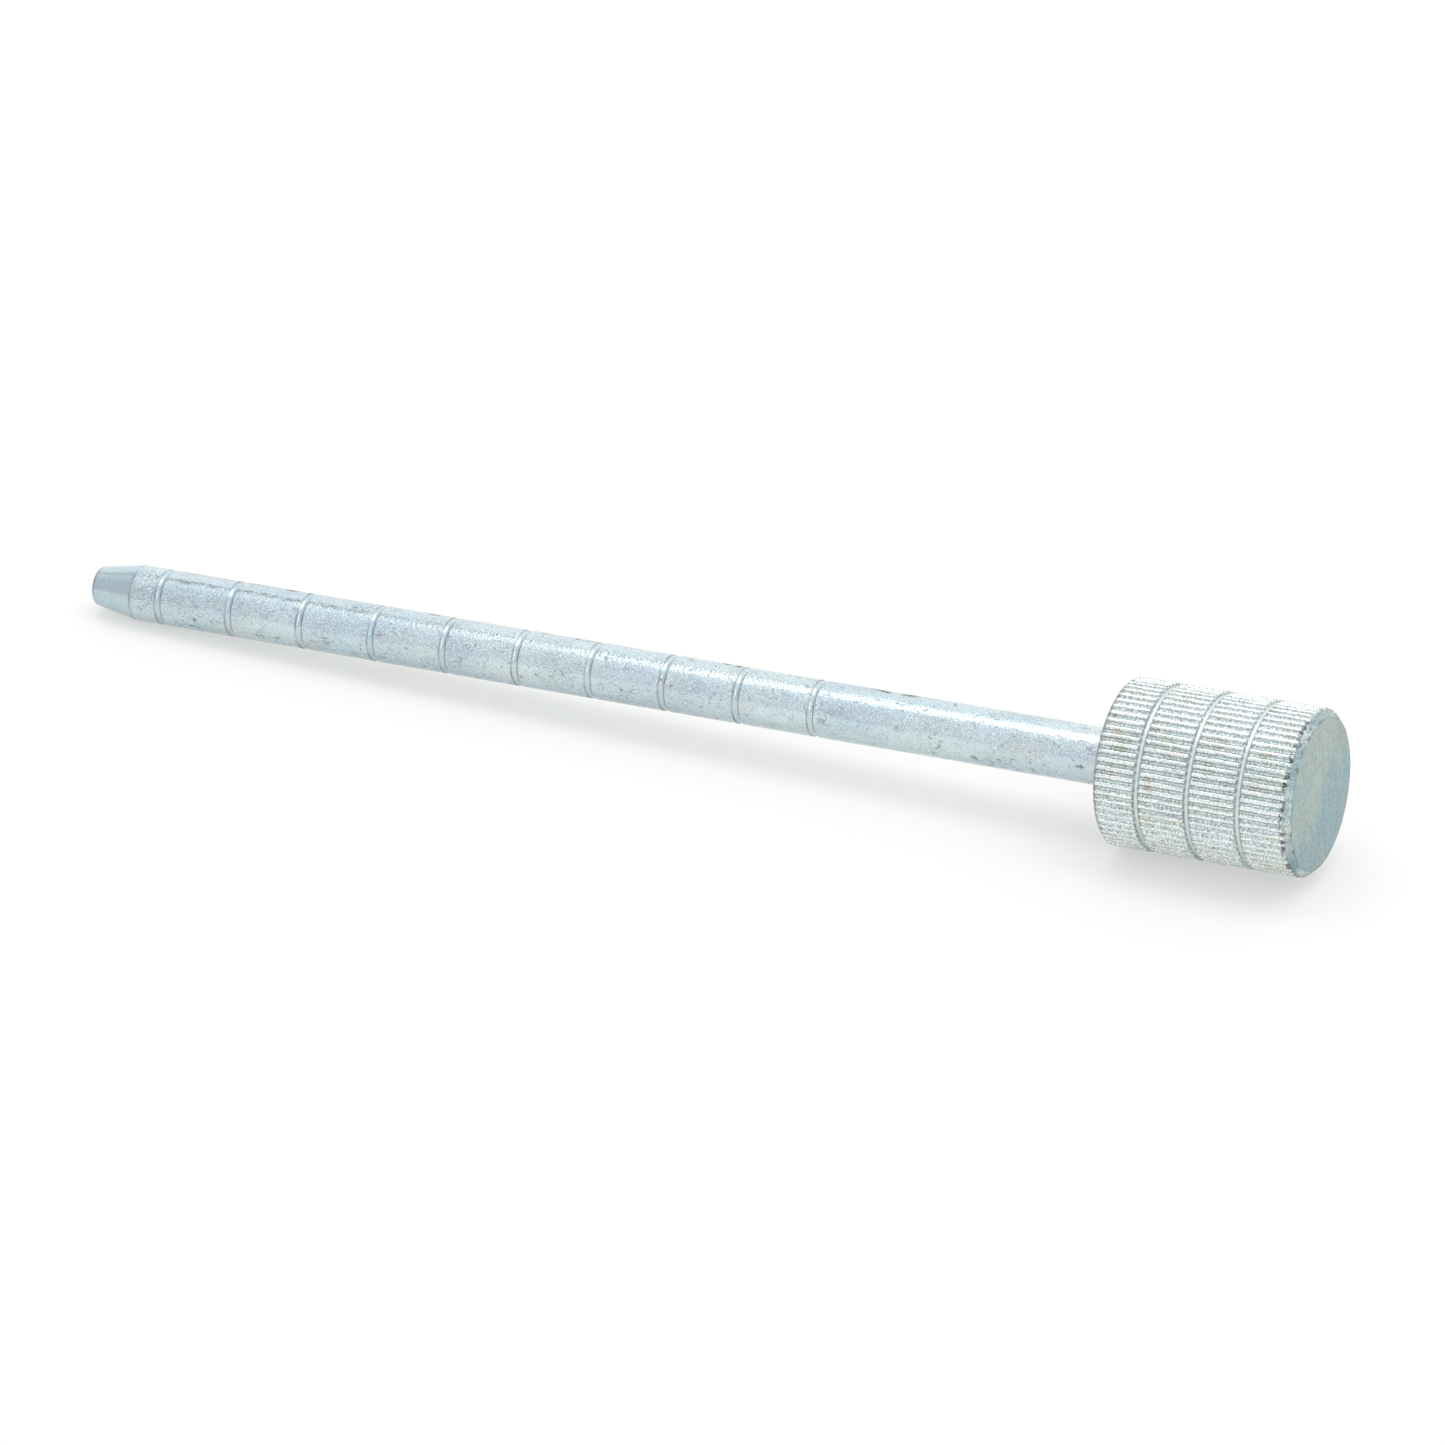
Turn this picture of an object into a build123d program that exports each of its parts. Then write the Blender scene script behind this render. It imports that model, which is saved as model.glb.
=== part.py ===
from build123d import *
from math import radians, tan
import os

# Graduated marking pin: a blunt-nosed steel rod with a depth ring every 10 mm, pressed into a
# straight-knurled finger head. Millimetres. The axis is X: the nose face is at X = 0, which is
# the zero of the depth rings, and the head is at the +X end. +Z is up when the pin lies down.

# Rod
ROD_DIAMETER = 7.0
ROD_REACH = 140.0  # nose face to the head's front face
NOSE_LENGTH = 6.0
NOSE_END_DIAMETER = 4.9  # of the taper, where it would meet the nose face
NOSE_EDGE_RADIUS = 0.4

# Depth rings: shallow turned grooves, counted from the nose face
RING_PITCH = 10.0
RING_COUNT = 10
RING_WIDTH = 0.8
RING_DEPTH = 0.22

# Joint between rod and head: a shouldered spigot pressed into a blind bore
SPIGOT_DIAMETER = 5.0
SPIGOT_LENGTH = 12.0
SPIGOT_CHAMFER = 0.5
SPIGOT_ROOT_RADIUS = 0.2
PRESS_INTERFERENCE = 0.02  # the bore is this much smaller in diameter than the spigot
BORE_LEAD_CLEARANCE = 0.2  # the bore's mouth chamfer clears the spigot's root radius
BORE_END_GAP = 1.0  # air left beyond the spigot's end, before the drill point
DRILL_POINT_ANGLE = 118.0

# Head
HEAD_DIAMETER = 20.4  # over the knurl's crests
HEAD_LENGTH = 25.0
HEAD_FRONT_CHAMFER = 0.4
HEAD_END_CHAMFER = 0.9

# Grip grooves around the head, counted from its front face
GRIP_FIRST = 5.5
GRIP_PITCH = 6.45
GRIP_COUNT = 3
GRIP_WIDTH = 0.75
GRIP_WALL_MARGIN = 0.02  # the straight walls go this far below the teeth, which end at them
GRIP_ROUND_DEPTH = 0.12  # rise of the rounded floor below the walls
GRIP_OVERCUT = 0.2  # how far the cut is drawn past the crests

# Straight knurl
TOOTH_COUNT = 63
TOOTH_DEPTH = 0.35
NOTCH_MOUTH = 0.62  # width of the gap between two teeth, at their crests
NOTCH_FLOOR = 0.1
NOTCH_OVERCUT = 0.2  # how far each notch is drawn past the crest circle
FIRST_NOTCH = -90.0  # degrees from +Y: a notch is straight below, so the head lies on two crests


def groove_radius(width, depth):
    """Radius of the round-nosed tool that cuts a groove of this width and depth."""
    return ((width / 2) ** 2 + depth**2) / (2 * depth)


rod_radius = ROD_DIAMETER / 2
nose_end_radius = NOSE_END_DIAMETER / 2
spigot_radius = SPIGOT_DIAMETER / 2
spigot_end = ROD_REACH + SPIGOT_LENGTH

head_radius = HEAD_DIAMETER / 2
head_front = ROD_REACH
head_end = head_front + HEAD_LENGTH
bore_radius = spigot_radius - PRESS_INTERFERENCE / 2
bore_lead = SPIGOT_ROOT_RADIUS + BORE_LEAD_CLEARANCE
bore_floor = spigot_end + BORE_END_GAP
bore_tip = bore_floor + bore_radius / tan(radians(DRILL_POINT_ANGLE / 2))

ring_tool = groove_radius(RING_WIDTH, RING_DEPTH)
ring_tool_centre = rod_radius - RING_DEPTH + ring_tool
ring_places = [(n * RING_PITCH, ring_tool_centre) for n in range(1, RING_COUNT + 1)]
notch_top = NOTCH_MOUTH + (NOTCH_MOUTH - NOTCH_FLOOR) * NOTCH_OVERCUT / TOOTH_DEPTH
grip_places = [head_front + GRIP_FIRST + n * GRIP_PITCH for n in range(GRIP_COUNT)]
grip_wall_radius = head_radius - TOOTH_DEPTH - GRIP_WALL_MARGIN
grip_floor_radius = grip_wall_radius - GRIP_ROUND_DEPTH

os.makedirs("parts", exist_ok=True)


# --- Rod: taper nose, plain shank with depth rings, shoulder and press spigot ---
with BuildPart() as graduated_rod:
    with BuildSketch(Plane.XY):
        with BuildLine():
            Polyline(
                (0, 0),
                (0, nose_end_radius),
                (NOSE_LENGTH, rod_radius),
                (head_front, rod_radius),
                (head_front, spigot_radius),
                (spigot_end, spigot_radius),
                (spigot_end, 0),
                close=True,
            )
        make_face()
    revolve(axis=Axis.X)

    # rounded edge of the nose face
    nose_edge = graduated_rod.edges().filter_by(GeomType.CIRCLE).sort_by(Axis.X)[0]
    fillet(nose_edge, NOSE_EDGE_RADIUS)

    # spigot: lead chamfer at its end, small radius where it meets the shoulder
    spigot_end_edge = graduated_rod.edges().filter_by(GeomType.CIRCLE).sort_by(Axis.X)[-1]
    chamfer(spigot_end_edge, SPIGOT_CHAMFER)
    shoulder_edges = graduated_rod.edges().filter_by(GeomType.CIRCLE).filter_by_position(
        Axis.X, head_front, head_front
    )
    fillet(shoulder_edges.sort_by(SortBy.RADIUS)[0], SPIGOT_ROOT_RADIUS)

    # depth rings, one every pitch from the nose face
    with BuildSketch(Plane.XY):
        with Locations(*ring_places):
            Circle(ring_tool)
    revolve(axis=Axis.X, mode=Mode.SUBTRACT)


# --- Head: turned and straight-knurled blank, three grip grooves, blind bore for the spigot ---
with BuildPart() as knurled_head:
    with BuildSketch(Plane.XY):
        with BuildLine():
            Polyline(
                (head_front, 0),
                (head_front, head_radius - HEAD_FRONT_CHAMFER),
                (head_front + HEAD_FRONT_CHAMFER, head_radius),
                (head_end - HEAD_END_CHAMFER, head_radius),
                (head_end, head_radius - HEAD_END_CHAMFER),
                (head_end, 0),
                close=True,
            )
        make_face()
    revolve(axis=Axis.X)

    # the knurl: a toothed disc, drawn out along the whole head, that the turned blank is cut to
    with BuildSketch(Plane.YZ.offset(head_front)):
        Circle(head_radius)
        with PolarLocations(head_radius, TOOTH_COUNT, start_angle=FIRST_NOTCH):
            Polygon(
                (-TOOTH_DEPTH, -NOTCH_FLOOR / 2),
                (NOTCH_OVERCUT, -notch_top / 2),
                (NOTCH_OVERCUT, notch_top / 2),
                (-TOOTH_DEPTH, NOTCH_FLOOR / 2),
                align=None,
                mode=Mode.SUBTRACT,
            )
    extrude(amount=HEAD_LENGTH, mode=Mode.INTERSECT)

    # grip grooves: straight walls and a rounded floor
    with BuildSketch(Plane.XY):
        for place in grip_places:
            near_wall = place - GRIP_WIDTH / 2
            far_wall = place + GRIP_WIDTH / 2
            with BuildLine():
                Polyline(
                    (near_wall, grip_wall_radius),
                    (near_wall, head_radius + GRIP_OVERCUT),
                    (far_wall, head_radius + GRIP_OVERCUT),
                    (far_wall, grip_wall_radius),
                )
                ThreePointArc(
                    (far_wall, grip_wall_radius),
                    (place, grip_floor_radius),
                    (near_wall, grip_wall_radius),
                )
            make_face()
    revolve(axis=Axis.X, mode=Mode.SUBTRACT)

    # blind bore with a lead chamfer at its mouth and a drill point at its floor
    with BuildSketch(Plane.XY):
        with BuildLine():
            Polyline(
                (head_front, 0),
                (head_front, bore_radius + bore_lead),
                (head_front + bore_lead, bore_radius),
                (bore_floor, bore_radius),
                (bore_tip, 0),
                close=True,
            )
        make_face()
    revolve(axis=Axis.X, mode=Mode.SUBTRACT)


graduated_rod.part.label = "graduated_rod"
export_step(graduated_rod.part, "parts/graduated_rod.step")

knurled_head.part.label = "knurled_head"
export_step(knurled_head.part, "parts/knurled_head.step")
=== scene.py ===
"""Looks for the graduated pin: a drawn, zinc-plated rod with depth rings, in a straight-knurled head.

Metres, in the CAD's frame. The pin's axis is X, with the nose face at X = 0 and the head at +X.
Angles round the pin are counted from the top (+Z) towards the front (-Y).
"""

import math

import bpy
import numpy as np
from mathutils import Matrix, Vector


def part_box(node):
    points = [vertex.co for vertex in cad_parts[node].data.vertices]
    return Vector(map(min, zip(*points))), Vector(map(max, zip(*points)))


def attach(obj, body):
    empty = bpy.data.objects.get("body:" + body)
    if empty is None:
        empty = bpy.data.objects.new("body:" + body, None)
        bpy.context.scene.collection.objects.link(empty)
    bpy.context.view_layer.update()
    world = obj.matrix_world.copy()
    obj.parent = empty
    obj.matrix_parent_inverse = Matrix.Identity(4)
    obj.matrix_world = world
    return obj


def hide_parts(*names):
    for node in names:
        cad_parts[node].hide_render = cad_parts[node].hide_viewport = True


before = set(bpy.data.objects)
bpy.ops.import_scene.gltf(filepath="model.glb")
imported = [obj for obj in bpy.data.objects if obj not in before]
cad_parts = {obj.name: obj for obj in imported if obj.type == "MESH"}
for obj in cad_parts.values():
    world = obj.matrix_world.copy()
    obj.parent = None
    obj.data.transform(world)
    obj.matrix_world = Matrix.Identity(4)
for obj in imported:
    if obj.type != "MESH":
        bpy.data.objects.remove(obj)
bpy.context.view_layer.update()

MM = 0.001
FULL_TURN = 2 * math.pi

# --- Sizes read from the frame ---
_, rod_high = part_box("graduated_rod")
head_low, head_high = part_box("knurled_head")
ROD_RADIUS = rod_high.z
SPIGOT_END = rod_high.x
HEAD_FRONT = head_low.x
HEAD_END = head_high.x
CREST_RADIUS = max(head_high.y, head_high.z)

# --- Rod details, as in the CAD unless a note says otherwise ---
NOSE_LENGTH = 6.0 * MM
NOSE_END_RADIUS = 2.45 * MM
NOSE_EDGE_RADIUS = 0.4 * MM
TAPER_CORNER = 0.2 * MM  # half the length over which the taper turns into the shank, sharp in the CAD
RING_PITCH = 10 * MM
RING_COUNT = 10
RING_WIDTH = 0.85 * MM  # 0.05 mm over the CAD's, for the rolled edges
RING_DEPTH = 0.22 * MM
SPIGOT_RADIUS = 2.48 * MM  # hidden in the head, 0.02 mm under the CAD's
SPIGOT_CHAMFER = 0.5 * MM
RING_PLACES = [n * RING_PITCH for n in range(1, RING_COUNT + 1)]

# --- Head details, as in the CAD unless a note says otherwise ---
FRONT_CHAMFER = 0.4 * MM
END_CHAMFER = 0.9 * MM
END_CORNER_RADIUS = CREST_RADIUS - END_CHAMFER
CHAMFER_START = HEAD_END - END_CHAMFER
GRIP_PLACES = [HEAD_FRONT + (5.5 + 6.45 * n) * MM for n in range(3)]
GRIP_WIDTH = 0.75 * MM
GRIP_DEPTH = 0.49 * MM
TOOTH_COUNT = 63
TOOTH_DEPTH = 0.35 * MM
CREST_HALF = 0.36  # share of half a pitch that a crest takes, from its middle
FLOOR_START = 0.86  # share of half a pitch where the gap's floor starts
CREST_CROWN = 0.035 * MM  # how far a crest falls from its middle to its edge, flat in the CAD
BORE_RADIUS = 2.5 * MM  # hidden, 0.01 mm over the CAD's
BORE_LEAD = 0.4 * MM
BORE_FLOOR = SPIGOT_END + 1.0 * MM

# --- Mesh fineness ---
ROD_SEGMENTS = 128
TAPER_STEP = 0.2 * MM
SHANK_STEP = 0.215 * MM
RING_STEP = 0.075 * MM
GROOVE_REACH = 0.66  # the fine rows go this share of a groove's width to both sides of its middle
BAND_STEPS = 15
GRIP_STEPS = 12
RIM_STEP = 0.085 * MM
# columns across one tooth, from the middle of one gap to the middle of the next
TOOTH_COLUMNS = [0.0, 0.065, 0.17, 0.27, 0.325, 0.385, 0.5, 0.615, 0.675, 0.73, 0.83, 0.935]

# --- Surface of the drawn rod ---
# each row of waves: height in mm, length along the rod in mm, number around it
SKIN_WAVES = [(0.004, 9, 14), (0.0012, 1.3, 18), (0.0012, 0.6, 40)]
SEAM_ANGLE = math.radians(20)
SEAM_HALF_WIDTH = 0.12 * MM
SEAM_DEPTH = 0.02 * MM
PIT_DEEPEST = 0.09 * MM
SMALL_PITS = 620

# --- Surface of the knurled head ---
CREST_GRAIN = 0.004 * MM  # height of the grain on the crests
GAP_GRAIN = 0.017 * MM  # how much higher it is in the gaps
CREST_WAVE = 0.004 * MM
BURR_HEIGHT = 0.2 * MM
NICK_DEPTH = 0.17 * MM
DENT_DEPTH = 0.05 * MM
# dark nicks in the corner of the end face: angle in degrees, length in mm
CORNER_NICKS = [(113, 1.2), (96, 0.5), (48, 0.6), (20, 0.8), (171, 0.5), (238, 0.9), (301, 0.7)]

# --- Resting place: the pin lies on its rod's taper corner and its head's front rim ---
FLOOR_TILT = math.atan2(CREST_RADIUS - ROD_RADIUS, HEAD_FRONT + FRONT_CHAMFER - NOSE_LENGTH)
FLOOR_NORMAL = Vector((math.sin(FLOOR_TILT), 0, math.cos(FLOOR_TILT)))
FLOOR_POINT = Vector((NOSE_LENGTH, 0, -ROD_RADIUS))
FLOOR_HALF_SIDE = 4.0

# --- Camera, by its direction from the pin above the floor ---
CAMERA_AZIMUTH = math.radians(25.62)
CAMERA_ELEVATION = math.radians(27.51)
CAMERA_DISTANCE = 1.0467
CAMERA_AIM = Vector((0.0874, -0.0018, -0.0032))
SENSOR_MM = 36.0
LENS_MM = 214.66


# ---------------------------------------------------------------- shape helpers


def smoothstep(low, high, value):
    """0 below low, 1 above high, smooth between."""
    t = np.clip((value - low) / (high - low), 0.0, 1.0)
    return t * t * (3.0 - 2.0 * t)


def near(value, centre, width):
    """1 at the centre, fading to 0 a little beyond this width on both sides."""
    return np.exp(-(((value - centre) / width) ** 2))


def angle_past(angles, start):
    """How far each angle is past the start, from minus half a turn to half a turn."""
    return (angles - start + math.pi) % FULL_TURN - math.pi


def surface_noise(rng, x, angle, cell, around):
    """Smooth noise from -1 to 1 over a round surface: cells this long on X, and this many around."""
    first = math.floor(x.min() / cell) - 1
    count = math.ceil(x.max() / cell) - first + 3
    lattice = rng.uniform(-1, 1, (count, around))
    u = x / cell - first
    v = (angle % FULL_TURN) / FULL_TURN * around
    i = np.floor(u).astype(int)
    j = np.floor(v).astype(int)
    fu = smoothstep(0, 1, u - i)
    fv = smoothstep(0, 1, v - j)
    j0 = j % around
    j1 = (j + 1) % around
    low = lattice[i, j0] * (1 - fv) + lattice[i, j1] * fv
    high = lattice[i + 1, j0] * (1 - fv) + lattice[i + 1, j1] * fv
    return low * (1 - fu) + high * fu


def grooves(x, places, width):
    """How deep each x is in a round-nosed groove, and how near to a groove's rolled edge, 0 to 1, which
    marks the painted shade and dirt along the edge.
    """
    depth = np.zeros_like(x)
    edge_shade_and_dirt_mask = np.zeros_like(x)
    for place in places:
        t = np.abs(x - place) / (width / 2)
        body = np.sqrt(np.clip(1 - (t * 0.94) ** 2, 0, 1))
        depth = np.maximum(depth, body * (1 - smoothstep(0.86, 1.12, t)))
        edge_shade_and_dirt_mask = np.maximum(edge_shade_and_dirt_mask, near(np.abs(x - place), width * 0.52, 0.07 * MM))
    return depth, edge_shade_and_dirt_mask


def steps_between(start, stop, step):
    """Places from the start, which is left out, to the stop, about a step apart."""
    return list(np.linspace(start, stop, max(1, round((stop - start) / step)) + 1)[1:])


def arc(centre_x, centre_r, radius, start, stop, count):
    """(x, r) stations on an arc. Angles in degrees, from +X towards +r."""
    a = np.radians(np.linspace(start, stop, count))
    return [(centre_x + radius * math.cos(t), centre_r + radius * math.sin(t)) for t in a]


def lathe_grid(stations, angles):
    """x, radius and angle of every point round the stations, as (rows, segments) arrays."""
    stations = np.array(stations)
    x = stations[:, :1].repeat(len(angles), 1)
    radius = stations[:, 1:].repeat(len(angles), 1)
    return x, radius, angles[None, :].repeat(len(stations), 0)


def lathe_mesh(name, x, radius, angles, attributes):
    """A closed mesh from rows of points round the X axis. x and radius are (rows, segments) arrays.

    The first and last rows are closed with a fan to a point on the axis.
    """
    rows, segments = x.shape
    y = -radius * np.sin(angles)
    z = radius * np.cos(angles)
    points = np.stack([x, y, z], -1).reshape(-1, 3)
    ends = np.array([[x[0].mean(), 0, 0], [x[-1].mean(), 0, 0]])
    points = np.vstack([points, ends])
    first_end, last_end = rows * segments, rows * segments + 1

    i, j = np.meshgrid(np.arange(rows - 1), np.arange(segments), indexing="ij")
    k = (j + 1) % segments
    quads = np.stack(
        [i * segments + j, i * segments + k, (i + 1) * segments + k, (i + 1) * segments + j], -1
    ).reshape(-1, 4)
    ring = np.arange(segments)
    after = (ring + 1) % segments
    low_fan = np.stack([np.full(segments, first_end), after, ring], -1)
    last = (rows - 1) * segments
    high_fan = np.stack([np.full(segments, last_end), last + ring, last + after], -1)

    mesh = bpy.data.meshes.new(name)
    mesh.from_pydata(points.tolist(), [], quads.tolist() + low_fan.tolist() + high_fan.tolist())
    mesh.validate()
    for label, values in attributes.items():
        layer = mesh.attributes.new(label, "FLOAT", "POINT")
        flat = np.concatenate([values.reshape(-1), values[0, :1], values[-1, :1]])
        layer.data.foreach_set("value", flat.astype(np.float32))
    mesh.shade_smooth()
    obj = bpy.data.objects.new(name, mesh)
    bpy.context.scene.collection.objects.link(obj)
    return obj


# ---------------------------------------------------------------- rod


def nose_stations():
    """(x, r) over the flat nose face and round its edge."""
    slope = math.atan2(ROD_RADIUS - NOSE_END_RADIUS, NOSE_LENGTH)
    flat_radius = NOSE_END_RADIUS - NOSE_EDGE_RADIUS * math.tan((math.pi / 2 - slope) / 2)
    face = [(0.0, flat_radius * share) for share in (0.25, 0.5, 0.75, 0.92, 0.985)]
    return face + arc(NOSE_EDGE_RADIUS, flat_radius, NOSE_EDGE_RADIUS, 180, 90 + math.degrees(slope), 9)


def rod_places(start):
    """Where the rod's rows of points stand along X, from this start on the taper to the head."""
    corner_start = NOSE_LENGTH - TAPER_CORNER
    corner_end = NOSE_LENGTH + TAPER_CORNER
    places = list(np.arange(start, corner_start, TAPER_STEP))
    places += list(np.linspace(corner_start, corner_end, 7))
    x = corner_end
    reach = RING_WIDTH * GROOVE_REACH
    for ring in RING_PLACES:
        places += steps_between(x, ring - reach, SHANK_STEP)
        places += steps_between(ring - reach, ring + reach, RING_STEP)
        x = ring + reach
    return places + steps_between(x, HEAD_FRONT, SHANK_STEP)


def taper_radius(x):
    """The rod's plain radius at x, with the taper's corner rounded off."""
    slope = (ROD_RADIUS - NOSE_END_RADIUS) / NOSE_LENGTH
    past = x - (NOSE_LENGTH - TAPER_CORNER)
    if past <= 0:
        return ROD_RADIUS - slope * (NOSE_LENGTH - x)
    if past >= 2 * TAPER_CORNER:
        return ROD_RADIUS
    return ROD_RADIUS - slope * (2 * TAPER_CORNER - past) ** 2 / (4 * TAPER_CORNER)


def rod_stations():
    """(x, r) down the rod's outline, from the nose face's middle to the spigot's end."""
    nose = nose_stations()
    outline = [(x, taper_radius(x)) for x in rod_places(nose[-1][0] + 0.12 * MM)]
    spigot = [
        (HEAD_FRONT, (ROD_RADIUS + SPIGOT_RADIUS) / 2),
        (HEAD_FRONT, SPIGOT_RADIUS),
        (HEAD_FRONT + 4 * MM, SPIGOT_RADIUS),
        (SPIGOT_END - SPIGOT_CHAMFER, SPIGOT_RADIUS),
        (SPIGOT_END, SPIGOT_RADIUS - SPIGOT_CHAMFER),
        (SPIGOT_END, 1 * MM),
    ]
    return nose + outline + spigot


# Larger marks of the drawn bar: place along the rod in mm, angle in degrees, length and width in
# mm, turn from lengthwise in degrees, strength.
ROD_MARKS = [
    (15.1, 104, 0.9, 0.35, 70, 1.0),
    (14.6, 121, 0.7, 0.3, 20, 0.8),
    (23.3, 84, 0.5, 0.2, 80, 0.7),
    (24.6, 86, 0.5, 0.2, 60, 0.7),
    (26.7, 112, 0.6, 0.4, 30, 0.9),
    (24.0, 117, 0.8, 0.3, 10, 0.8),
    (22.5, -19, 2.6, 0.6, 0, 0.8),
    (27.1, -19, 2.2, 0.7, 0, 1.0),
    (35.7, 121, 0.5, 0.3, 20, 0.8),
    (47.2, 122, 0.5, 0.3, 0, 0.8),
    (46.8, -19, 1.6, 0.7, 0, 1.0),
    (62.2, -19, 1.3, 0.6, 0, 1.0),
    (66.6, -19, 1.4, 0.7, 0, 1.0),
    (66.7, 80, 1.5, 0.2, 35, 0.8),
    (68.0, 107, 0.7, 0.4, 40, 0.9),
    (74.7, 93, 0.8, 0.3, 45, 0.9),
    (72.8, 125, 0.9, 0.35, 75, 1.0),
    (86.9, -19, 1.2, 0.8, 0, 1.0),
    (88.7, -18, 1.5, 0.9, 0, 1.0),
    (94.6, 1, 0.5, 0.2, 0, 0.6),
    (107.6, -17, 2.9, 1.1, 2, 1.0),
    (111.9, -17, 3.2, 1.1, -2, 1.0),
    (110.8, 21, 0.9, 0.22, 50, 1.0),
    (112.4, 17, 0.5, 0.2, 50, 0.8),
    (114.6, 28, 0.8, 0.2, -55, 1.0),
    (115.4, 14, 0.5, 0.25, 0, 0.8),
    (117.8, -4, 1.3, 0.18, 80, 0.8),
    (116.9, 98, 1.7, 0.25, -50, 1.0),
    (121.7, 114, 1.5, 0.7, 10, 0.6),
    (123.6, 112, 0.9, 0.3, 20, 0.6),
    (126.7, 103, 1.6, 0.18, -35, 0.8),
    (127.0, 101, 1.4, 0.16, 30, 0.7),
    (134.7, 78, 0.4, 0.3, 0, 0.8),
    (135.5, 90, 1.1, 0.25, -20, 1.0),
    (135.6, 90, 1.0, 0.25, 70, 1.0),
    (131.9, 51, 0.4, 0.25, 0, 0.7),
    (129.4, 30, 0.35, 0.2, 0, 0.6),
]


def large_marks():
    """The rows of ROD_MARKS in metres and radians."""
    marks = []
    for place, angle, length, width, turn, strength in ROD_MARKS:
        marks.append(
            (place * MM, math.radians(angle), length * MM, width * MM, math.radians(turn), strength)
        )
    return marks


def small_pits(rng):
    """Small pits all over the rod, as rows like those of large_marks."""
    pits = []
    for _ in range(SMALL_PITS):
        width = rng.lognormal(-1.5, 0.35) * MM
        place = rng.uniform(NOSE_LENGTH + 0.5 * MM, HEAD_FRONT)
        angle = rng.uniform(0, FULL_TURN)
        length = width * rng.uniform(1.0, 2.6)
        turn = rng.normal(0, 0.7)
        strength = rng.uniform(0.2, 0.7)
        pits.append((place, angle, length, width, turn, strength))
    return pits


def rod_marks(x, angles, rng):
    """Depth of the pits and scratches over the rod, and how stained each point is."""
    depth = np.zeros_like(x)
    stain = np.zeros_like(x)
    ragged = 0.5 * surface_noise(rng, x, angles, 0.35 * MM, 60)
    for place, angle, length, width, turn, strength in large_marks() + small_pits(rng):
        close = np.nonzero(np.abs(x[:, 0] - place) < max(length, width) * 0.75)[0]
        if not len(close):
            continue
        rows = slice(close[0], close[-1] + 1)
        along = x[rows] - place
        across = angle_past(angles[rows], angle) * ROD_RADIUS
        a = along * math.cos(turn) + across * math.sin(turn)
        b = -along * math.sin(turn) + across * math.cos(turn)
        # every mark is a little S-shaped, each starting at its own point of the wave
        b = b + 0.12 * length * np.sin(a / length * 5 + place * 900)
        from_middle = np.sqrt((a / (length / 2)) ** 2 + (b / (width / 2)) ** 2)
        shape = (1 - smoothstep(0.35, 1.2, from_middle + ragged[rows])) * strength
        depth[rows] = np.maximum(depth[rows], shape * min(width * 0.3, PIT_DEEPEST))
        stain[rows] = np.maximum(stain[rows], shape)
    return depth, stain


def drawn_seam(x, angles, rng):
    """A crooked, broken crack that drawing has left along the rod behind the nose, from 0 to 1."""
    everywhere = np.zeros_like(x)
    line = SEAM_ANGLE + 0.05 * surface_noise(rng, x, everywhere, 0.8 * MM, 1)
    line += 0.04 * surface_noise(rng, x, everywhere, 0.4 * MM, 1)
    across = angle_past(angles, line) * ROD_RADIUS
    run = smoothstep(9 * MM, 13 * MM, x) * (1 - smoothstep(34 * MM, 46 * MM, x))
    broken = smoothstep(-0.2, 0.5, surface_noise(rng, x, everywhere, 0.5 * MM, 1))
    return near(across, 0, SEAM_HALF_WIDTH) * run * (0.2 + 0.75 * broken)


def make_rod():
    circle = np.linspace(0, FULL_TURN, ROD_SEGMENTS, endpoint=False)
    x, radius, angles = lathe_grid(rod_stations(), circle)
    rng = np.random.default_rng(7)

    shank = smoothstep(NOSE_LENGTH - 0.1 * MM, NOSE_LENGTH + 0.3 * MM, x)
    shank *= x < HEAD_FRONT - 0.01 * MM
    # the rings' edges, the nose rim and the taper's corner get thin dark lines: painted shade, partly
    # dirt
    rings, edge_shade_and_dirt_mask = grooves(x, RING_PLACES, RING_WIDTH)
    nose_rim = near(x, 0.2 * MM, 0.2 * MM) * (radius > NOSE_END_RADIUS - NOSE_EDGE_RADIUS)
    taper_edge = 0.7 * near(x, NOSE_LENGTH, 0.13 * MM)
    edge_shade_and_dirt_mask = np.maximum(edge_shade_and_dirt_mask, np.maximum(nose_rim, taper_edge))
    edge_shade_and_dirt_mask *= 0.75 + 0.45 * surface_noise(rng, x, angles, 0.6 * MM, 24)

    # drawn-bar skin: long shallow waves and a finer orange peel
    relief = np.zeros_like(x)
    for height, length, around in SKIN_WAVES:
        relief += height * MM * surface_noise(rng, x, angles, length * MM, around)
    relief *= shank * (1 - rings)

    pits, stain = rod_marks(x, angles, rng)
    seam = drawn_seam(x, angles, rng) * (1 - rings)
    relief -= (pits + SEAM_DEPTH * seam) * shank
    radius = radius + relief - RING_DEPTH * rings
    attributes = {
        "stain": (np.maximum(stain, seam) * shank).clip(0, 1),
        "ring": rings,
        "edge_shade_and_dirt": edge_shade_and_dirt_mask.clip(0, 1),
        "drawn": shank,
    }
    return lathe_mesh("rod_skin", x, radius, angles, attributes)


# ---------------------------------------------------------------- head


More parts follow.
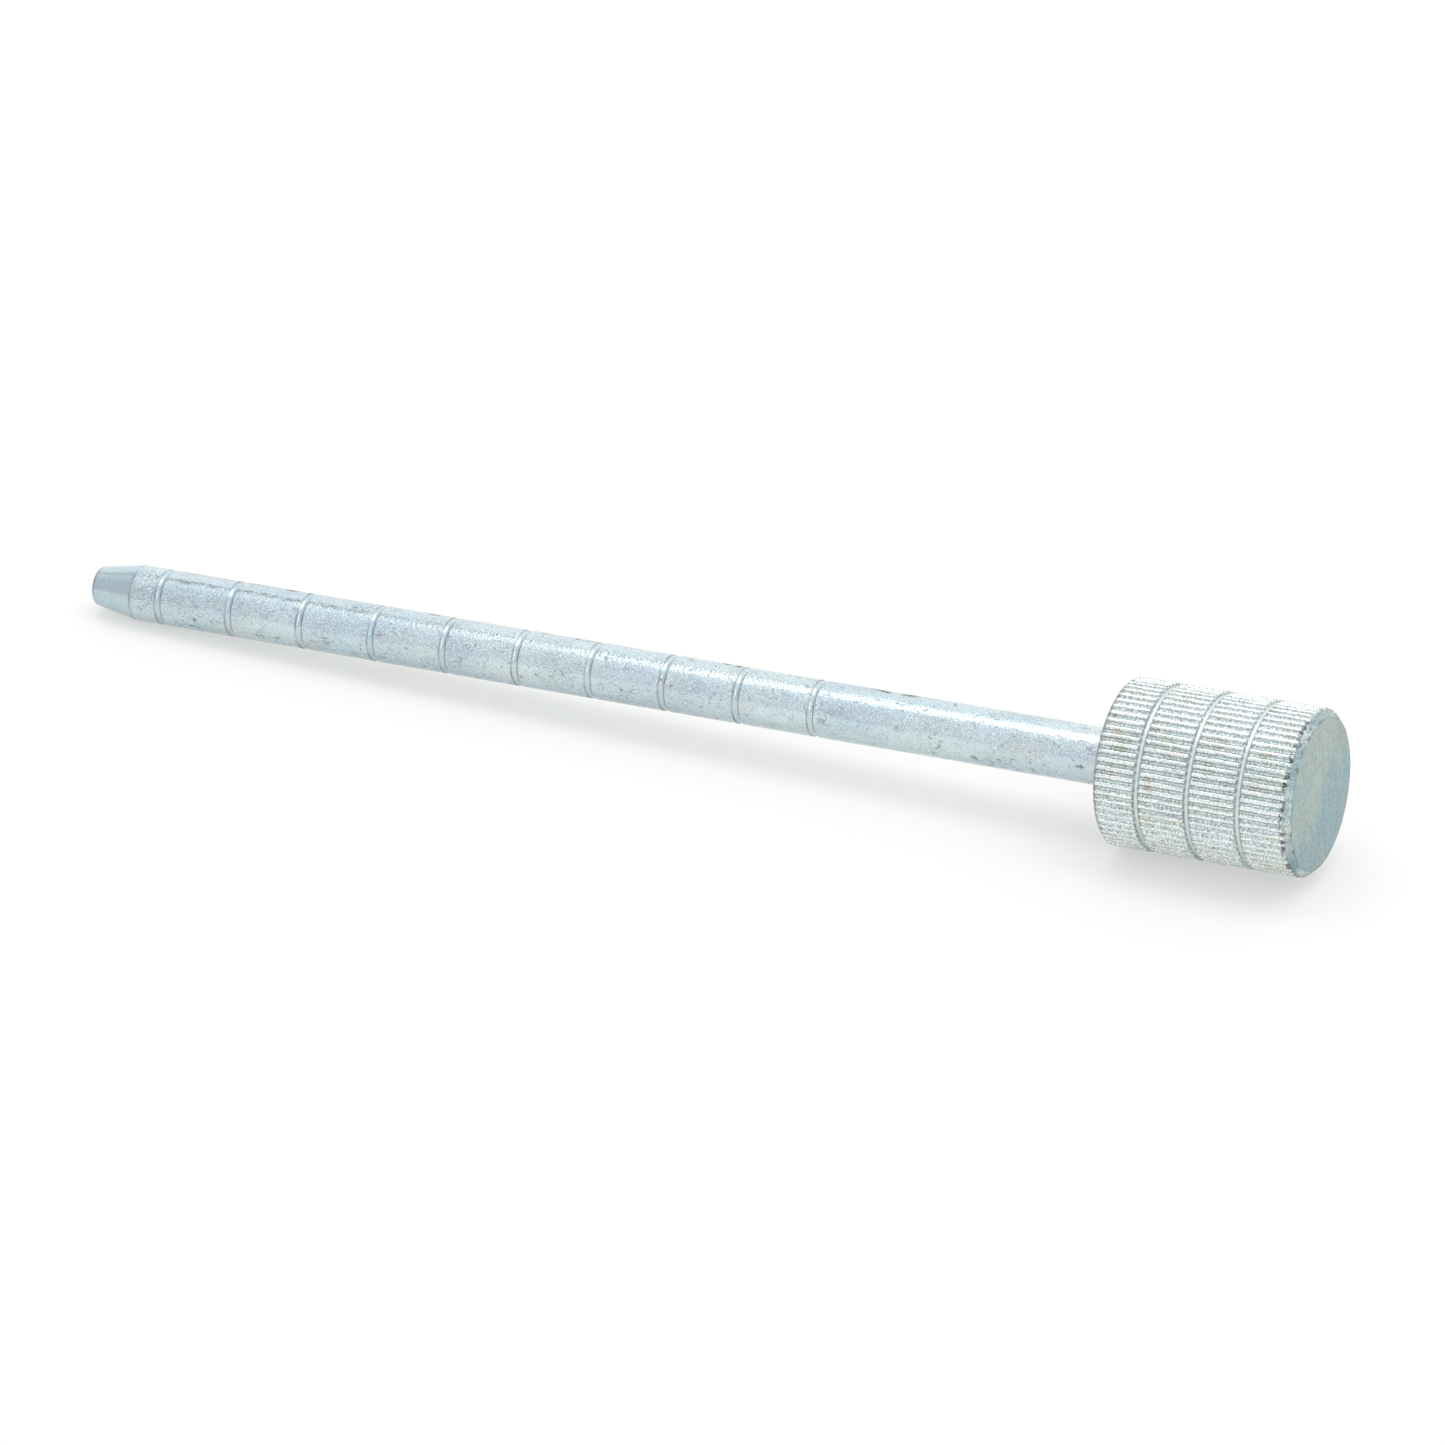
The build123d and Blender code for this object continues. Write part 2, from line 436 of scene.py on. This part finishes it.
def front_stations():
    """(x, r) from the bore's floor, out of the bore, over the front face and its chamfer."""
    chamfer_radius = CREST_RADIUS - FRONT_CHAMFER
    return [
        (BORE_FLOOR, BORE_RADIUS * 0.98),
        (BORE_FLOOR - 0.2 * MM, BORE_RADIUS),
        (HEAD_FRONT + BORE_LEAD, BORE_RADIUS),
        (HEAD_FRONT, BORE_RADIUS + BORE_LEAD),
        (HEAD_FRONT, 4.0 * MM),
        (HEAD_FRONT, 7.0 * MM),
        (HEAD_FRONT, 9.2 * MM),
        (HEAD_FRONT, chamfer_radius - 0.06 * MM),
        (HEAD_FRONT + 0.02 * MM, chamfer_radius + 0.02 * MM),
        (HEAD_FRONT + FRONT_CHAMFER * 0.5, CREST_RADIUS - FRONT_CHAMFER * 0.5),
        (HEAD_FRONT + FRONT_CHAMFER * 0.85, CREST_RADIUS - FRONT_CHAMFER * 0.12),
        (HEAD_FRONT + FRONT_CHAMFER * 1.15, CREST_RADIUS),
    ]


def body_places(start):
    """Where the knurl's rows of points stand along X, from this start to the end face's corner."""
    places = []
    x = start
    reach = GRIP_WIDTH * GROOVE_REACH
    for grip in GRIP_PLACES:
        places += list(np.linspace(x, grip - reach, BAND_STEPS + 1)[1:])
        places += list(np.linspace(grip - reach, grip + reach, GRIP_STEPS + 1)[1:])
        x = grip + reach
    rim_start = CHAMFER_START - 0.8 * MM
    places += list(np.linspace(x, rim_start, BAND_STEPS + 1)[1:])
    places += steps_between(rim_start, HEAD_END - END_CHAMFER * 0.35, RIM_STEP)
    return places + [HEAD_END - END_CHAMFER * 0.15, HEAD_END - 0.05 * MM]


def head_stations():
    """(x, r) down the head's outline, from the bore's floor, over the knurl, to the end face."""
    front = front_stations()
    body = [(x, CREST_RADIUS + min(0, CHAMFER_START - x)) for x in body_places(front[-1][0])]
    corner = [
        (HEAD_END - 0.015 * MM, END_CORNER_RADIUS - 0.02 * MM),
        (HEAD_END, END_CORNER_RADIUS - 0.09 * MM),
    ]
    end = [(HEAD_END, END_CORNER_RADIUS * share) for share in (0.96, 0.8, 0.5, 0.2)]
    return front + body + corner + end


def tooth_angles():
    """Angles of the columns round the head, with a crest at the top and so a gap at the bottom."""
    pitch = FULL_TURN / TOOTH_COUNT
    return np.array([(n + t - 0.5) * pitch for n in range(TOOTH_COUNT) for t in TOOTH_COLUMNS])


def knurl_profile(x, angles, rng):
    """How far down a gap's side each point is, 0 to 1; how far it falls on a crest's crown, in
    metres; and how close it is to a crest's middle line, 0 to 1.

    The crests wander a little to the side, and no two have the same width.
    """
    wander = 0.022 * surface_noise(rng, x, angles, 2.5 * MM, TOOTH_COUNT)
    share = np.array(TOOTH_COLUMNS * TOOTH_COUNT)[None, :] + wander
    phase = np.abs(share - 0.5) * 2  # 0 in the middle of a crest, 1 in the middle of a gap
    width = rng.uniform(-0.05, 0.05, TOOTH_COUNT).repeat(len(TOOTH_COLUMNS))[None, :]
    width = width + 0.04 * surface_noise(rng, x, angles, 1.2 * MM, TOOTH_COUNT)
    crest_half = CREST_HALF + width
    gap = ((phase - crest_half) / (FLOOR_START - crest_half)).clip(0, 1)
    crown = CREST_CROWN * (phase / crest_half).clip(0, 1) ** 2
    # the crest's middle line, where a highlight is painted into the colour
    crest_highlight_line = 1 - smoothstep(0.05, 0.30, phase - width)
    return gap, crown, crest_highlight_line


def corner_nicks(radius, angles):
    """1 in the dark nicks of the end face's corner, fading to 0 round them."""
    nicks = np.zeros_like(radius)
    for angle, length in CORNER_NICKS:
        around = angle_past(angles, math.radians(angle)) * CREST_RADIUS
        nicks = np.maximum(nicks, near(around, 0, length * MM / 2))
    return nicks * near(radius, END_CORNER_RADIUS, 0.16 * MM)


def make_head():
    x, radius, angles = lathe_grid(head_stations(), tooth_angles())
    rng = np.random.default_rng(11)
    gap, crown, crest_highlight_line = knurl_profile(x, angles, rng)
    grips, edge_shade_and_dirt_mask = grooves(x, GRIP_PLACES, GRIP_WIDTH)

    # everything on the outside, from the front rim to the end chamfer, is cut by the knurl
    outside = (x > HEAD_FRONT + 1e-6) & (x < HEAD_END - 0.02 * MM)
    outside &= radius > CREST_RADIUS - TOOTH_DEPTH - 0.8 * MM
    rough = surface_noise(rng, x, angles, 0.35 * MM, 4 * TOOTH_COUNT)
    coarse = surface_noise(rng, x, angles, 1.1 * MM, 3 * TOOTH_COUNT)
    toothed = CREST_RADIUS - (TOOTH_DEPTH - crown) * gap - crown
    toothed += (CREST_GRAIN + GAP_GRAIN * gap) * rough + CREST_WAVE * coarse
    skin = np.minimum(toothed, CREST_RADIUS - GRIP_DEPTH * grips)
    skin = np.minimum(skin, radius)

    # the crests break off in small burrs where the end chamfer cuts them, with nicks between
    rim = smoothstep(CHAMFER_START - 0.55 * MM, CHAMFER_START - 0.15 * MM, x)
    rim *= 1 - smoothstep(CHAMFER_START + 0.05 * MM, CHAMFER_START + 0.35 * MM, x)
    lump = surface_noise(rng, x, angles, 0.26 * MM, 3 * TOOTH_COUNT)
    lump += 0.5 * surface_noise(rng, x, angles, 0.8 * MM, TOOTH_COUNT)
    skin += rim * np.where(lump > 0, BURR_HEIGHT * gap, NICK_DEPTH) * lump
    chamfer = smoothstep(CHAMFER_START + 0.1 * MM, CHAMFER_START + 0.3 * MM, x)
    dents = surface_noise(rng, x, angles, 0.5 * MM, 48)
    skin -= chamfer * DENT_DEPTH * dents.clip(0, 1)
    radius = np.where(outside, np.minimum(skin, CREST_RADIUS + 0.01 * MM), radius)

    # dirt in the broken rim and on the front one; a dark line round the end face's corner joins the grip
    # grooves' dark edge lines, painted shade and partly dirt
    rim_dirt = rim * smoothstep(-0.1, -0.5, lump) + 0.9 * rim * gap * smoothstep(-0.4, 0.3, coarse)
    front_dirt = near(x, HEAD_FRONT + 0.15 * MM, 0.28 * MM) * (0.75 + 0.35 * coarse)
    dirt = np.maximum(rim_dirt, front_dirt) * outside
    dirt = np.maximum(dirt, corner_nicks(radius, angles))
    corner = near(x, HEAD_END, 0.06 * MM) * near(radius, END_CORNER_RADIUS, 0.16 * MM)
    edge_shade_and_dirt_mask = np.maximum(edge_shade_and_dirt_mask, corner * (0.2 + 0.8 * surface_noise(rng, x, angles, 5 * MM, 60)))

    before_chamfer = 1 - smoothstep(CHAMFER_START, CHAMFER_START + 0.2 * MM, x)
    knurl = outside * (1 - smoothstep(0.0, 0.25, grips)) * before_chamfer
    attributes = {
        "gap": gap * knurl,
        "crest_highlight": crest_highlight_line * knurl,
        "knurl": knurl,
        "ring": grips,
        "edge_shade_and_dirt": edge_shade_and_dirt_mask.clip(0, 1),
        "dirt": dirt.clip(0, 1),
        "edge": smoothstep(CHAMFER_START - 0.1 * MM, CHAMFER_START + 0.15 * MM, x) * outside,
    }
    return lathe_mesh("head_skin", x, radius, angles, attributes)


# ---------------------------------------------------------------- materials


class Nodes:
    """A short way to write a node tree. Texture scales are in cells per metre."""

    def __init__(self, owner):
        owner.use_nodes = True
        self.tree = owner.node_tree
        self.tree.nodes.clear()

    def add(self, kind, settings=None, inputs=None):
        node = self.tree.nodes.new(kind)
        for key, value in (settings or {}).items():
            setattr(node, key, value)
        for key, value in (inputs or {}).items():
            self.feed(node.inputs[key], value)
        return node

    def feed(self, socket, value):
        if isinstance(value, bpy.types.NodeSocket):
            self.tree.links.new(value, socket)
        else:
            socket.default_value = value

    def math(self, operation, a, b, clamp=False):
        node = self.add("ShaderNodeMath", {"operation": operation, "use_clamp": clamp}, {0: a, 1: b})
        return node.outputs[0]

    def plus(self, a, b, clamp=False):
        return self.math("ADD", a, b, clamp)

    def minus(self, a, b, clamp=False):
        return self.math("SUBTRACT", a, b, clamp)

    def most(self, a, b):
        return self.math("MAXIMUM", a, b)

    def times(self, *values):
        result = values[0]
        for value in values[1:]:
            result = self.math("MULTIPLY", result, value)
        return result

    def span(self, value, low, high, to_low=0.0, to_high=1.0):
        """Turns low..high into to_low..to_high, smoothly, and holds still beyond both ends."""
        node = self.add(
            "ShaderNodeMapRange",
            {"interpolation_type": "SMOOTHSTEP"},
            {"Value": value, "From Min": low, "From Max": high, "To Min": to_low, "To Max": to_high},
        )
        return node.outputs["Result"]

    def mix(self, share, a, b):
        node = self.add("ShaderNodeMix", {"data_type": "RGBA"})
        for index, value in ((0, share), (6, a), (7, b)):
            self.feed(node.inputs[index], value)
        return node.outputs[2]

    def scale(self, colour, factor):
        """The colour times a number."""
        node = self.add("ShaderNodeVectorMath", {"operation": "SCALE"}, {0: colour, "Scale": factor})
        return node.outputs[0]

    def stretch(self, where, scale, turn=(0.0, 0.0, 0.0)):
        inputs = {"Vector": where, "Scale": scale, "Rotation": turn}
        return self.add("ShaderNodeMapping", None, inputs).outputs[0]

    def noise(self, where, scale, detail=2.0, roughness=0.5):
        inputs = {"Vector": where, "Scale": scale, "Detail": detail, "Roughness": roughness}
        return self.add("ShaderNodeTexNoise", None, inputs).outputs["Fac"]

    def crazing(self, where, scale, line, warp):
        """Thin crooked lines, as of cracked plating: 1 on a line. line is a share of a cell."""
        inputs = {"Vector": where, "Scale": scale * 1.7, "Detail": 2.0}
        bend = self.scale(self.add("ShaderNodeTexNoise", None, inputs).outputs["Color"], warp)
        bent = self.add("ShaderNodeVectorMath", {"operation": "ADD"}, {0: where, 1: bend}).outputs[0]
        cells = self.add(
            "ShaderNodeTexVoronoi", {"feature": "DISTANCE_TO_EDGE"}, {"Vector": bent, "Scale": scale}
        )
        return self.span(cells.outputs["Distance"], line * 0.4, line, 1.0, 0.0)

    def bump(self, height, distance, strength, before=None):
        """A normal for this height. distance is the height of a 1, in metres."""
        inputs = {"Strength": strength, "Distance": distance, "Height": height}
        if before is not None:
            inputs["Normal"] = before
        return self.add("ShaderNodeBump", None, inputs).outputs["Normal"]

    def attribute(self, name):
        return self.add("ShaderNodeAttribute", {"attribute_name": name}).outputs["Fac"]

    def where(self):
        return self.add("ShaderNodeTexCoord").outputs["Object"]

    def metal(self, colour, roughness, normal):
        shader = self.add(
            "ShaderNodeBsdfPrincipled",
            None,
            {"Base Color": colour, "Metallic": 1.0, "Roughness": roughness, "Normal": normal},
        )
        self.add("ShaderNodeOutputMaterial", None, {"Surface": shader.outputs[0]})


# Zinc on the rod, on the knurl's crests and gaps, on the turned faces and in the grip grooves. The
# near-white colours are painted glints on the rod and painted highlights on the crest lines; the dark
# stain colour also paints shade along edges.
ZINC = (0.60, 0.71, 0.735, 1)
ZINC_BLUE = (0.53, 0.655, 0.715, 1)
ZINC_GREY = (0.59, 0.645, 0.625, 1)
PAINTED_GLINT_WHITE = (0.95, 0.98, 1.0, 1)
CREST_HIGHLIGHT = (0.94, 0.96, 0.945, 1)
CREST_HIGHLIGHT_WARM = (0.97, 0.965, 0.90, 1)
GAP = (0.70, 0.78, 0.77, 1)
GAP_WARM = (0.65, 0.67, 0.59, 1)
SATIN = (0.335, 0.415, 0.40, 1)
SATIN_BLUE = (0.275, 0.395, 0.425, 1)
SATIN_PALE = (0.385, 0.465, 0.445, 1)
GRIP = (0.66, 0.745, 0.745, 1)
STAIN_AND_SHADE = (0.15, 0.13, 0.11, 1)


def rod_zinc_colour(n, where, long_way, cloud, drawn, ring):
    """The clean plating: cloudy blue and grey, mottled, a little darker on the taper and in the rings."""
    patch = n.noise(long_way, scale=420, detail=2, roughness=0.5)
    colour = n.mix(n.span(cloud, 0.38, 0.62), ZINC, ZINC_BLUE)
    colour = n.mix(n.times(n.span(patch, 0.5, 0.7), 0.5), colour, ZINC_GREY)
    mottle = n.span(n.noise(where, scale=3600, detail=3, roughness=0.7), 0.36, 0.64, 0.91, 1.07)
    on_shank = n.span(drawn, 0.0, 1.0, 0.94, 1.0)
    off_rings = n.span(ring, 0.0, 0.8, 1.0, 0.95)
    return n.scale(colour, n.times(mottle, on_shank, off_rings))


def rod_wear(n, where, long_way):
    """Patches of fine and coarse crazing, and patches of dark specks, from 0 to 1."""
    fine_patch = n.span(n.noise(long_way, scale=260, detail=2, roughness=0.6), 0.47, 0.62)
    fine = n.times(n.crazing(long_way, scale=2600, line=0.13, warp=0.0004), fine_patch, 0.22)
    coarse_patch = n.span(n.noise(long_way, scale=330, detail=2, roughness=0.6), 0.55, 0.63)
    coarse = n.times(n.crazing(long_way, scale=700, line=0.05, warp=0.0012), coarse_patch, 0.42)
    speck = n.span(n.noise(where, scale=3000, detail=2, roughness=0.6), 0.61, 0.70)
    speck_patch = n.span(n.noise(where, scale=500, detail=2, roughness=0.5), 0.38, 0.6)
    return n.most(n.most(fine, coarse), n.times(speck, speck_patch, 0.75))


def rod_normal(n, where, skin, worn, painted_glint):
    """Orange peel all over the skin, with sunk wear and the cells of the painted glints raised as bumps.
    """
    grain = n.noise(where, scale=2500, detail=3, roughness=0.6)
    facets = n.add(
        "ShaderNodeTexVoronoi",
        {"feature": "SMOOTH_F1"},
        {"Vector": where, "Scale": 3000.0, "Smoothness": 0.4},
    ).outputs["Distance"]
    peel = n.times(n.plus(n.times(grain, 0.9), facets), n.plus(n.times(skin, 0.9), 0.1))
    normal = n.bump(peel, distance=0.00004, strength=0.5)
    normal = n.bump(n.times(worn, -1.0), distance=0.00004, strength=0.5, before=normal)
    return n.bump(painted_glint, distance=0.00004, strength=0.75, before=normal)


def rod_material():
    material = bpy.data.materials.new("rod_zinc_skin")
    n = Nodes(material)
    where = n.where()
    long_way = n.stretch(where, (0.5, 1, 1))
    drawn = n.attribute("drawn")
    ring = n.attribute("ring")
    skin = n.minus(drawn, n.times(ring, 0.9), clamp=True)  # 1 on the shank between the rings

    cloud = n.noise(long_way, scale=160, detail=3, roughness=0.6)
    colour = rod_zinc_colour(n, where, long_way, cloud, drawn, ring)
    # painted glints: small near-white cells standing in for the sparkle of light on zinc grains; the same
    # cells are raised as bumps
    cell = n.add("ShaderNodeTexVoronoi", None, {"Vector": where, "Scale": 5000.0}).outputs["Distance"]
    painted_glint = n.times(n.span(cell, 0.12, 0.42, 1.0, 0.0), skin)
    colour = n.mix(n.times(painted_glint, 0.8), colour, PAINTED_GLINT_WHITE)
    worn = n.times(rod_wear(n, where, long_way), skin)
    # pit and seam stains and wear, plus the dark edge lines, which are painted shade and partly dirt
    stain_wear_and_shade = n.most(n.times(n.attribute("stain"), 0.92), worn)
    stain_wear_and_shade = n.most(stain_wear_and_shade, n.times(n.attribute("edge_shade_and_dirt"), 0.8))
    colour = n.mix(stain_wear_and_shade, colour, STAIN_AND_SHADE)

    rough = n.span(cloud, 0.3, 0.7, 0.13, 0.19)
    rough = n.plus(rough, n.span(skin, 0.0, 1.0, 0.09, 0.0))
    rough = n.plus(rough, n.times(stain_wear_and_shade, 0.35), clamp=True)
    n.metal(colour, rough, rod_normal(n, where, skin, worn, painted_glint))
    return material


def satin_colour(n, where):
    """Turned faces: blue, grey-green and pale patches with faint tool marks both ways."""
    cloud = n.noise(where, scale=150, detail=4, roughness=0.6)
    colour = n.mix(n.span(cloud, 0.42, 0.6), SATIN, SATIN_BLUE)
    pale = n.span(n.noise(where, scale=80, detail=2, roughness=0.5), 0.48, 0.62)
    colour = n.mix(n.times(pale, 0.7), colour, SATIN_PALE)
    drag_way = n.stretch(where, (1, 1, 0.3), (0.35, 0, 0))
    drag = n.span(n.noise(drag_way, scale=1500, detail=4, roughness=0.7), 0.3, 0.7, 0.93, 1.07)
    scratch_way = n.stretch(where, (1, 0.03, 1), (0.7, 0, 0))
    scratch = n.noise(scratch_way, scale=2600, detail=2, roughness=0.5)
    scratch = n.span(scratch, 0.66, 0.74, 1.0, 0.84)
    dust = n.span(n.noise(where, scale=2700, detail=4, roughness=0.75), 0.38, 0.62, 0.84, 1.14)
    return n.scale(colour, n.times(n.times(drag, scratch), dust))


def knurl_colour(n, where, tint, grit, gap, line):
    """Painted highlight lines on the crests, near white with warm and blue tints; painted shade on the
    flanks; dull gaps full of grain.
    """
    # near-white colour for the crest lines, a painted highlight
    crest_highlight = n.mix(n.span(tint, 0.44, 0.62), CREST_HIGHLIGHT, CREST_HIGHLIGHT_WARM)
    blue = n.span(n.noise(where, scale=300, detail=2, roughness=0.5), 0.52, 0.7)
    crest_highlight = n.mix(n.times(blue, 0.6), crest_highlight, ZINC_BLUE)
    warm = n.span(n.noise(where, scale=380, detail=3, roughness=0.6), 0.52, 0.68)
    low = n.scale(n.mix(warm, GAP, GAP_WARM), n.span(grit, 0.36, 0.64, 0.60, 1.40))
    # painted shade on the gaps' flanks, lighter again on the gaps' floors
    flank_shade = n.times(n.span(gap, 0.0, 0.2), n.span(gap, 0.55, 0.95, 1.0, 0.35))
    shade = n.minus(1.0, n.times(flank_shade, 0.23))
    return n.scale(n.mix(line, low, crest_highlight), n.times(n.span(grit, 0.35, 0.65, 0.92, 1.04), shade))


def head_grime_and_shade(n, where, tint, edge):
    """Dirt in the rims, specks all over, nicks on the end chamfer, and dark edge lines that are painted
    shade and partly dirt, from 0 to 1.
    """
    speck = n.span(n.noise(where, scale=1700, detail=2, roughness=0.6), 0.67, 0.76)
    nick = n.times(n.span(n.noise(where, scale=900, detail=3, roughness=0.7), 0.58, 0.66), edge)
    grime_and_shade = n.most(n.times(n.attribute("dirt"), 0.85), n.times(n.most(speck, nick), 0.6))
    # dark lines along the grip grooves' edges and the end face's corner: painted shade, partly dirt
    return n.most(grime_and_shade, n.times(n.attribute("edge_shade_and_dirt"), n.span(tint, 0.4, 0.6, 0.3, 0.65)))


def head_material():
    material = bpy.data.materials.new("head_zinc_skin")
    n = Nodes(material)
    where = n.where()
    gap = n.attribute("gap")
    # the crest lines, where the knurl's highlight is painted
    line = n.attribute("crest_highlight")
    knurl = n.attribute("knurl")
    edge = n.attribute("edge")
    turned = n.minus(1.0, knurl, clamp=True)
    tint = n.noise(where, scale=230, detail=3, roughness=0.6)
    grit = n.noise(where, scale=4700, detail=3, roughness=0.75)

    worn = n.mix(n.span(tint, 0.4, 0.6), GAP, SATIN_BLUE)
    worn = n.scale(worn, n.span(grit, 0.38, 0.62, 0.5, 1.4))
    colour = n.mix(n.times(edge, 0.6), satin_colour(n, where), worn)
    colour = n.mix(n.attribute("ring"), colour, GRIP)
    colour = n.mix(knurl, colour, knurl_colour(n, where, tint, grit, gap, line))
    # dirt, specks and nicks, with painted shade along the edges
    grime_and_shade = head_grime_and_shade(n, where, tint, edge)
    colour = n.mix(grime_and_shade, colour, STAIN_AND_SHADE)

    # the grain stands out most on the end chamfer and in the gaps, and least on the crest lines
    rugged = n.plus(n.plus(n.times(knurl, 0.2), n.times(gap, 0.28)), n.times(edge, 0.7))
    rugged = n.minus(rugged, n.times(line, 0.17), clamp=True)
    normal = n.bump(grit, distance=0.0001, strength=rugged)
    fine = n.noise(where, scale=4200, detail=2, roughness=0.6)
    normal = n.bump(fine, distance=0.00004, strength=n.times(turned, 0.35), before=normal)
    rough = n.plus(n.times(turned, 0.14), 0.2)
    rough = n.plus(rough, n.times(n.most(gap, grime_and_shade), 0.2), clamp=True)
    n.metal(colour, rough, normal)
    return material


# ---------------------------------------------------------------- pieces

rod = make_rod()
rod.data.materials.append(rod_material())
head = make_head()
head.data.materials.append(head_material())
for piece, node, slot in ((rod, "graduated_rod", "rod_zinc"), (head, "knurled_head", "head_zinc")):
    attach(piece, "root")
    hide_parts(node)


# ---------------------------------------------------------------- floor, light, camera


def make_floor():
    """A pale sheet that the pin rests on, faintly lit from within like an opal light table."""
    side = FLOOR_HALF_SIDE
    mesh = bpy.data.meshes.new("floor")
    corners = [(-side, -side, 0), (side, -side, 0), (side, side, 0), (-side, side, 0)]
    mesh.from_pydata(corners, [], [(0, 1, 2, 3)])
    floor = bpy.data.objects.new("floor", mesh)
    bpy.context.scene.collection.objects.link(floor)
    turn = Matrix.Rotation(FLOOR_TILT, 4, "Y")
    floor.matrix_world = Matrix.Translation(FLOOR_POINT) @ turn
    material = bpy.data.materials.new("pale_floor")
    material.use_nodes = True
    shader = material.node_tree.nodes["Principled BSDF"]
    shader.inputs["Base Color"].default_value = (0.47, 0.465, 0.45, 1)
    shader.inputs["Roughness"].default_value = 0.9
    shader.inputs["Specular IOR Level"].default_value = 0.1
    shader.inputs["Emission Color"].default_value = (1, 1, 0.99, 1)
    shader.inputs["Emission Strength"].default_value = 0.44
    mesh.materials.append(material)


def make_world():
    """A light tent, by direction: x towards the head, y towards the back, z up."""
    world = bpy.data.worlds.new("tent")
    bpy.context.scene.world = world
    n = Nodes(world)
    way = n.add("ShaderNodeTexCoord").outputs["Generated"]
    x, y, z = n.add("ShaderNodeSeparateXYZ", None, {0: way}).outputs[:3]
    front_wall = (0.90, 0.91, 0.955, 1)
    back_wall = (1.13, 1.15, 1.17, 1)
    colour = n.mix(n.span(y, -0.3, 0.3), front_wall, back_wall)
    # a dark seam high at the back, a brighter roof in front, a dimmer left side and low front strip
    seam = n.times(n.span(z, 0.60, 0.68), n.span(y, 0.14, 0.24), n.span(y, 0.43, 0.34))
    roof = n.times(n.span(z, 0.70, 0.78), n.span(y, 0.05, -0.15))
    left = n.times(n.span(x, -0.5, -0.68), n.span(y, 0.45, 0.0))
    strip = n.times(n.span(z, 0.08, 0.13), n.span(z, 0.20, 0.15), n.span(y, 0.1, -0.1))
    strength = n.minus(1.0, n.times(seam, 0.5))
    strength = n.plus(strength, n.times(roof, 0.10))
    strength = n.minus(strength, n.times(left, 0.16))
    strength = n.minus(strength, n.times(strip, 0.16))
    light = n.add("ShaderNodeBackground", None, {"Color": colour, "Strength": strength})
    n.add("ShaderNodeOutputWorld", None, {"Surface": light.outputs[0]})


def make_softbox(name, place, aim, width, height, radiance):
    """A soft rectangular lamp. radiance is how bright its face is, next to a white wall's 1."""
    light = bpy.data.lights.new(name, "AREA")
    light.shape = "RECTANGLE"
    light.size = width
    light.size_y = height
    light.energy = radiance * math.pi * width * height
    lamp = bpy.data.objects.new(name, light)
    lamp.location = place
    lamp.rotation_mode = "QUATERNION"
    lamp.rotation_quaternion = (Vector(aim) - Vector(place)).to_track_quat("-Z", "Y")
    bpy.context.scene.collection.objects.link(lamp)


def make_camera():
    data = bpy.data.cameras.new("camera")
    data.sensor_width = SENSOR_MM
    data.lens = LENS_MM
    data.clip_start = 0.05
    data.clip_end = 20
    camera = bpy.data.objects.new("camera", data)
    bpy.context.scene.collection.objects.link(camera)
    level = math.cos(CAMERA_ELEVATION)
    back = Vector(
        (
            math.sin(CAMERA_AZIMUTH) * level,
            -math.cos(CAMERA_AZIMUTH) * level,
            math.sin(CAMERA_ELEVATION),
        )
    )
    back = Matrix.Rotation(FLOOR_TILT, 3, "Y") @ back
    right = FLOOR_NORMAL.cross(back).normalized()
    up = back.cross(right)
    turn = Matrix((right, up, back)).transposed().to_4x4()
    camera.matrix_world = Matrix.Translation(CAMERA_AIM + CAMERA_DISTANCE * back) @ turn
    bpy.context.scene.camera = camera


make_floor()
make_world()
# the overhead softbox makes the white band along the rod, the front one the sparkle below it
make_softbox("overhead", (0.28, 0.07, 0.60), (0.28, 0.07, 0.0), width=0.95, height=0.34, radiance=1.5)
make_softbox("front", (0.08, -0.95, 0.60), (0.08, 0.0, 0.05), width=0.18, height=0.75, radiance=1.7)
make_camera()
bpy.context.scene.view_settings.view_transform = "Standard"
